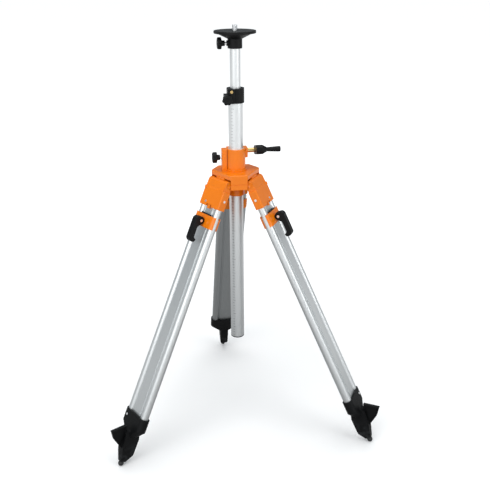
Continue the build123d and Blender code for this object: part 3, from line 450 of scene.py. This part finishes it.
def make_stud():
    """The instrument stud: a round base inside the hub, a plain neck and eleven threads to the inch."""
    mount = mounts["instrument_stud"]
    radius = mount["dims"]["r_mm"] * MM
    length = mount["dims"]["length_mm"] * MM
    start = mount["pos_m"][2] - length / 2
    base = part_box("instrument_stud")[0][2]
    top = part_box("instrument_stud")[1][2]
    points = []
    plain_rings = [
        (STUD_BASE_RADIUS, base),
        (STUD_BASE_RADIUS, base + STUD_BASE_HEIGHT),
        (STUD_NECK_RADIUS, base + STUD_NECK_START),
        (STUD_NECK_RADIUS, start),
    ]
    for ring_radius, height in plain_rings:
        points += circle(ring_radius, height, STUD_STEPS)
    for ring in range(THREAD_RINGS + 1):
        height = start + (top - start) * ring / THREAD_RINGS
        end_radius = radius - THREAD_CHAMFER + min(height - start, top - height)
        for step, spot in enumerate(circle(1.0, height, STUD_STEPS)):
            phase = (height / THREAD_PITCH - step / STUD_STEPS) % 1.0
            groove = THREAD_DEPTH * (1 - min(1.0, 1.35 * abs(2 * phase - 1)))
            ring_radius = min(radius - groove, end_radius)
            points.append((spot.x * ring_radius, spot.y * ring_radius, height))
    faces = ring_faces(len(plain_rings) + THREAD_RINGS + 1, STUD_STEPS)
    stud = add_piece(
        "threaded_stud",
        points,
        faces,
        MATERIALS["zinc_steel"],
        "head_plate",
        crisp_above=50,
    )
    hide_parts("instrument_stud")


SCALE_LEFT_END = radians(222)
INK_THICKNESS = 0.03 * MM
MARK_STEPS = 8
TEN_MARK_REACH = radians(30)
FIVE_MARK_REACH = radians(25)
PLAIN_MARK_REACH = radians(19)


def make_scale():
    """Printed marks down the column's left front: one every centimetre, longer ones at five and ten."""
    low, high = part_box("outer_column")
    radius = (high[0] - low[0]) / 2 + INK_THICKNESS
    first = int(low[2] / CENTIMETRE) + 1
    last = int(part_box("column_collar")[0][2] / CENTIMETRE)
    points = []
    faces = []
    for mark in range(first, last):
        if mark % 10 == 0:
            reach = TEN_MARK_REACH
        elif mark % 5 == 0:
            reach = FIVE_MARK_REACH
        else:
            reach = PLAIN_MARK_REACH
        half_height = 0.5 * MM if mark % 5 == 0 else 0.4 * MM
        middle = mark * CENTIMETRE
        start = len(points)
        for step in range(MARK_STEPS + 1):
            angle = SCALE_LEFT_END + reach * step / MARK_STEPS
            for height in (middle - half_height, middle + half_height):
                points.append((radius * cos(angle), radius * sin(angle), height))
        for step in range(MARK_STEPS):
            corner = start + 2 * step
            faces.append((corner, corner + 2, corner + 3, corner + 1))
    add_piece("column_scale", points, faces, INK, "column")


DOME_STEPS = 24
RIVET_RADIUS = 4 * MM
RIVET_HEIGHT = 1.3 * MM


def make_rivet_head(name, place, body):
    """A rivet's flat dome with a small dimple."""
    profile = [
        (RIVET_RADIUS * 0.98, -0.3 * MM, 0),
        (RIVET_RADIUS, 0.1 * MM, 0),
        (RIVET_RADIUS * 0.94, RIVET_HEIGHT * 0.55, 0),
        (RIVET_RADIUS * 0.70, RIVET_HEIGHT * 0.90, 0),
        (RIVET_RADIUS * 0.36, RIVET_HEIGHT, 0),
        (RIVET_RADIUS * 0.24, RIVET_HEIGHT * 0.72, 0),
        (RIVET_RADIUS * 0.08, RIVET_HEIGHT * 0.70, 0),
    ]
    points = swept_rings(place, profile, DOME_STEPS)
    faces = ring_faces(len(profile), DOME_STEPS)
    add_piece(name, points, faces, MATERIALS["zinc_steel"], body, crisp_above=60)


def make_foot_rivets(side):
    """A foot's two rivets, in front and in a narrow side: towards local x, on the right leg away from it."""
    leg = leg_frame(side)
    hand = -1 if side == "right" else 1
    front_spot = Vector((hand * 34, 17.0, -803)) * MM
    narrow_spot = Vector((hand * 55, 0, -806)) * MM
    for label, spot, outward in (("front", front_spot, Y_AXIS), ("narrow", narrow_spot, X_AXIS * hand)):
        place = outer_face(leg, spot, outward)
        make_rivet_head(f"{side}_foot_rivet_{label}", place, f"{side}_lower_leg")


COVER_OUTER_RADIUS = 12.5 * MM
COVER_INNER_RADIUS = 12.28 * MM
COVER_FOOT_OUTWARD = 13.2 * MM
COVER_FOOT_HEIGHT = -16.5 * MM
COVER_HALF_WIDTH = 20.4 * MM
COVER_WRAP = radians(55)
COVER_STEPS = 12


def make_hinge_cover(side):
    """The thin front wall of a leg head that hides the casting's lug, between the two ears."""
    leg = leg_frame(side)
    outside = [Vector((0, COVER_FOOT_OUTWARD, COVER_FOOT_HEIGHT))]
    inside = [Vector((0, COVER_INNER_RADIUS, COVER_FOOT_HEIGHT))]
    for step in range(COVER_STEPS + 1):
        angle = COVER_WRAP * step / COVER_STEPS
        direction = Vector((0, cos(angle), sin(angle)))
        outside.append(direction * COVER_OUTER_RADIUS)
        inside.append(direction * COVER_INNER_RADIUS)
    outline = outside + inside[::-1]
    ends = (-COVER_HALF_WIDTH, COVER_HALF_WIDTH)
    points = [leg @ (spot + X_AXIS * end) for end in ends for spot in outline]
    faces = ring_faces(2, len(outline))
    orange = MATERIALS["orange_moulding"]
    add_piece(f"{side}_hinge_cover", points, faces, orange, f"{side}_leg")


EAR_FACE = 45.5 * MM
CAP_STEPS = 48
CAP_PROFILE = [
    (9.8 * MM, -0.1 * MM, 0),
    (9.8 * MM, 0.3 * MM, 0),
    (9.3 * MM, 0.75 * MM, 0),
    (7.4 * MM, 0.9 * MM, 0),
    (7.0 * MM, 0.5 * MM, 0),
    (1.0 * MM, 0.5 * MM, 0),
]


def make_bolt_caps(side):
    """Moulded caps that close the seats of the hinge bolt in the ears' outer sides."""
    leg = leg_frame(side)
    for label, hand in (("first", -1), ("second", 1)):
        outward = X_AXIS * hand
        place = outer_face(leg, outward * EAR_FACE, outward)
        add_piece(
            f"{side}_bolt_cap_{label}",
            swept_rings(place, CAP_PROFILE, CAP_STEPS),
            ring_faces(len(CAP_PROFILE), CAP_STEPS),
            MATERIALS["orange_moulding"],
            f"{side}_leg",
            crisp_above=50,
        )


WIPER_BACK = 8.0
WIPER_OUTLINE = [(23.0, 8.0), (23.0, 13.0), (21.5, 14.8), (-21.5, 14.8), (-23.0, 13.0), (-23.0, 8.0)]
WIPER_LEVELS = [(-108.2, 1.0), (-105.0, 1.0), (-104.0, 0.96)]


# Partly painted shade: these black pieces are wipers, and they also fill the place where the lower leg's open top
# lies in shade between the tubes.
def make_shade_wiper(side):
    """The black wiper on top of the leg clamp, in front of and behind the upper leg's bar. Its black also stands
    in, as painted shade, for the shadowed open top of the lower leg.
    """
    leg = leg_frame(side)
    for label, hand in (("front", 1), ("back", -1)):
        points = []
        for height, factor in WIPER_LEVELS:
            for across, outward in WIPER_OUTLINE:
                depth = hand * (WIPER_BACK + (outward - WIPER_BACK) * factor)
                points.append(leg @ (Vector((across * factor, depth, height)) * MM))
        faces = ring_faces(len(WIPER_LEVELS), len(WIPER_OUTLINE))
        if label == "front":
            faces = [tuple(reversed(corners)) for corners in faces]
        add_piece(
            f"{side}_shade_wiper_{label}",
            points,
            faces,
            MATERIALS["black_plastic"],
            f"{side}_lower_leg",
            crisp_above=40,
        )


WELD_DISTANCE = 0.02 * MM
FLAT_ANGLE = radians(1)
SHARP_ANGLE = radians(32)


def soften(node, radius):
    """A copy of a moulded CAD node with its sharp edges rounded by a radius, in place of the node."""
    source = frame["nodes"][node]
    shape = bmesh.new()
    shape.from_mesh(source.data)
    shape.transform(source.matrix_world)
    bmesh.ops.remove_doubles(shape, verts=shape.verts, dist=WELD_DISTANCE)
    bmesh.ops.dissolve_limit(shape, angle_limit=FLAT_ANGLE, verts=shape.verts, edges=shape.edges)
    inner_edges = [edge for edge in shape.edges if edge.is_manifold]
    bmesh.ops.bevel(
        shape,
        geom=[edge for edge in inner_edges if edge.calc_face_angle(0) > SHARP_ANGLE],
        offset=radius,
        offset_type="OFFSET",
        segments=3,
        profile=0.5,
        affect="EDGES",
        clamp_overlap=True,
    )
    bmesh.ops.triangulate(shape, faces=[face for face in shape.faces if len(face.verts) > 4])
    mesh = bpy.data.meshes.new(f"{node}_moulded")
    shape.to_mesh(mesh)
    shape.free()
    piece = finish_piece(mesh, material_of(node), BODY_OF[node], crisp_above=48)
    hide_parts(node)
    normals = piece.modifiers.new("even_normals", "WEIGHTED_NORMAL")
    normals.keep_sharp = True


EDGE_RADIUS = {
    "tripod_head": 0.7 * MM,
    "gear_housing": 1.2 * MM,
    "lower_guide_ring": 0.8 * MM,
    "column_collar": 1.0 * MM,
}
for side in SIDES:
    EDGE_RADIUS[f"{side}_leg_head"] = 1.9 * MM
    EDGE_RADIUS[f"{side}_clamp_front"] = 0.8 * MM
    EDGE_RADIUS[f"{side}_clamp_back"] = 0.8 * MM
    EDGE_RADIUS[f"{side}_foot"] = 1.6 * MM
for node, radius in EDGE_RADIUS.items():
    soften(node, radius)

make_knob("head_knob", head_radius=18.5 * MM, neck_radius=8.5 * MM, neck_length=10 * MM)
make_knob("collar_knob", head_radius=16.5 * MM, neck_radius=8 * MM, neck_length=5 * MM)
make_knob("housing_knob", head_radius=18 * MM, neck_radius=9 * MM, neck_length=9.5 * MM)
make_stud()
make_scale()
for side in SIDES:
    make_foot_rivets(side)
for side in SIDES:
    make_hinge_cover(side)
    make_bolt_caps(side)
    make_shade_wiper(side)


# ---------------------------------------------------------------- floor, light and camera
def seen_directly(tree):
    """1 where the camera looks straight at a surface, 0 in reflections and bounced light."""
    return tree.nodes.new("ShaderNodeLightPath").outputs["Is Camera Ray"]


def distance_from_centre(shader):
    """How far a point of the floor is from the middle of the scene."""
    node = shader.nodes.new("ShaderNodeVectorMath")
    node.operation = "LENGTH"
    shader.links.new(shader.place, node.inputs[0])
    return node.outputs["Value"]


FLOOR_RADIUS = 40
NEAR_DISTANCE = 0.5
FAR_DISTANCE = 3.0
NEAR_GLOW = 0.08
FAR_GLOW = 0.74


def make_floor():
    """A white floor that glows more towards the distance, so that it meets the white backdrop unseen."""
    bpy.ops.mesh.primitive_circle_add(vertices=96, radius=FLOOR_RADIUS, fill_type="NGON")
    floor = bpy.context.object
    floor.name = "studio_floor"
    shader = Shader("floor_paint", Roughness=0.6, Specular_IOR_Level=0.2)
    bright = shader.mixed(shader.noise(0.8, 2), (0.95, 0.95, 0.95), (0.97, 0.97, 0.97))
    dull = shader.mixed(shader.noise(0.8, 2), (0.20, 0.20, 0.20), (0.22, 0.22, 0.22))
    shader.feed("Base Color", shader.mixed(seen_directly(shader.material.node_tree), dull, bright))
    shader.surface.inputs["Emission Color"].default_value = (1.0, 1.0, 1.0, 1)
    distance = distance_from_centre(shader)
    glow = shader.ranged(distance, NEAR_GLOW, FAR_GLOW, NEAR_DISTANCE, FAR_DISTANCE)
    shader.feed("Emission Strength", glow)
    paint(floor, shader.material)


def add_softbox(name, place, target, size, power):
    """A rectangular lamp at a place, turned towards a target."""
    light = bpy.data.lights.new(name, "AREA")
    light.shape = "RECTANGLE"
    light.size, light.size_y = size
    light.energy = power
    lamp = bpy.data.objects.new(name, light)
    scene.collection.objects.link(lamp)
    lamp.location = place
    lamp.rotation_euler = (Vector(target) - Vector(place)).to_track_quat("-Z", "Y").to_euler()


REFLECTED_BACKDROP = (0.27, 0.295, 0.31, 1)
VISIBLE_BACKDROP = (1.0, 1.0, 1.0, 1)
SOFTBOXES = {
    "key": ((-2.4, -2.8, 2.8), (0, 0, 0.6), (3.6, 3.6), 95),
    "front": ((0.3, -4.6, 2.0), (0, 0, 0.7), (2.6, 1.8), 17),
    "fill": ((2.9, -2.4, 2.0), (0, 0, 0.7), (2.2, 2.8), 38),
    "top": ((0.0, 0.2, 3.8), (0, 0, 0.6), (4.0, 4.0), 95),
}


def make_light():
    """A backdrop that is white to the camera and grey in reflections, and four softboxes."""
    world = bpy.data.worlds.new("studio")
    scene.world = world
    world.use_nodes = True
    tree = world.node_tree
    background = tree.nodes["Background"]
    background.inputs["Strength"].default_value = 1.0
    shade = tree.nodes.new("ShaderNodeMix")
    shade.data_type = "RGBA"
    colour_socket(shade.inputs, "A").default_value = REFLECTED_BACKDROP
    colour_socket(shade.inputs, "B").default_value = VISIBLE_BACKDROP
    tree.links.new(seen_directly(tree), shade.inputs["Factor"])
    tree.links.new(colour_socket(shade.outputs, "Result"), background.inputs["Color"])
    for name, (place, target, size, power) in SOFTBOXES.items():
        add_softbox(name, place, target, size, power)


FILM_WIDTH = 36
FOCAL_LENGTH = 52.05
VIEW_DISTANCE = 200
CAMERA_PLACE = (-0.2834, -2.1557, 1.525)
CAMERA_HEADING = radians(-7.85)
CAMERA_TILT_DOWN = radians(19.5)
CAMERA_ROLL = radians(-0.42)
SHIFT_RIGHT = 0.0088
SHIFT_UP = -0.0656


def make_camera():
    """The camera of the main view, solved from the tripod's threefold shape."""
    camera = bpy.data.cameras.new("camera")
    camera.sensor_width = FILM_WIDTH
    camera.lens = FOCAL_LENGTH
    camera.shift_x = SHIFT_RIGHT
    camera.shift_y = SHIFT_UP
    camera.clip_end = VIEW_DISTANCE
    holder = bpy.data.objects.new("camera", camera)
    scene.collection.objects.link(holder)
    heading = Matrix.Rotation(CAMERA_HEADING, 4, "Z")
    pitch = Matrix.Rotation(radians(90) - CAMERA_TILT_DOWN, 4, "X")
    roll = Matrix.Rotation(CAMERA_ROLL, 4, "Z")
    holder.matrix_world = Matrix.Translation(CAMERA_PLACE) @ heading @ pitch @ roll
    scene.camera = holder


make_floor()
make_light()
make_camera()
scene.view_settings.view_transform = "Standard"
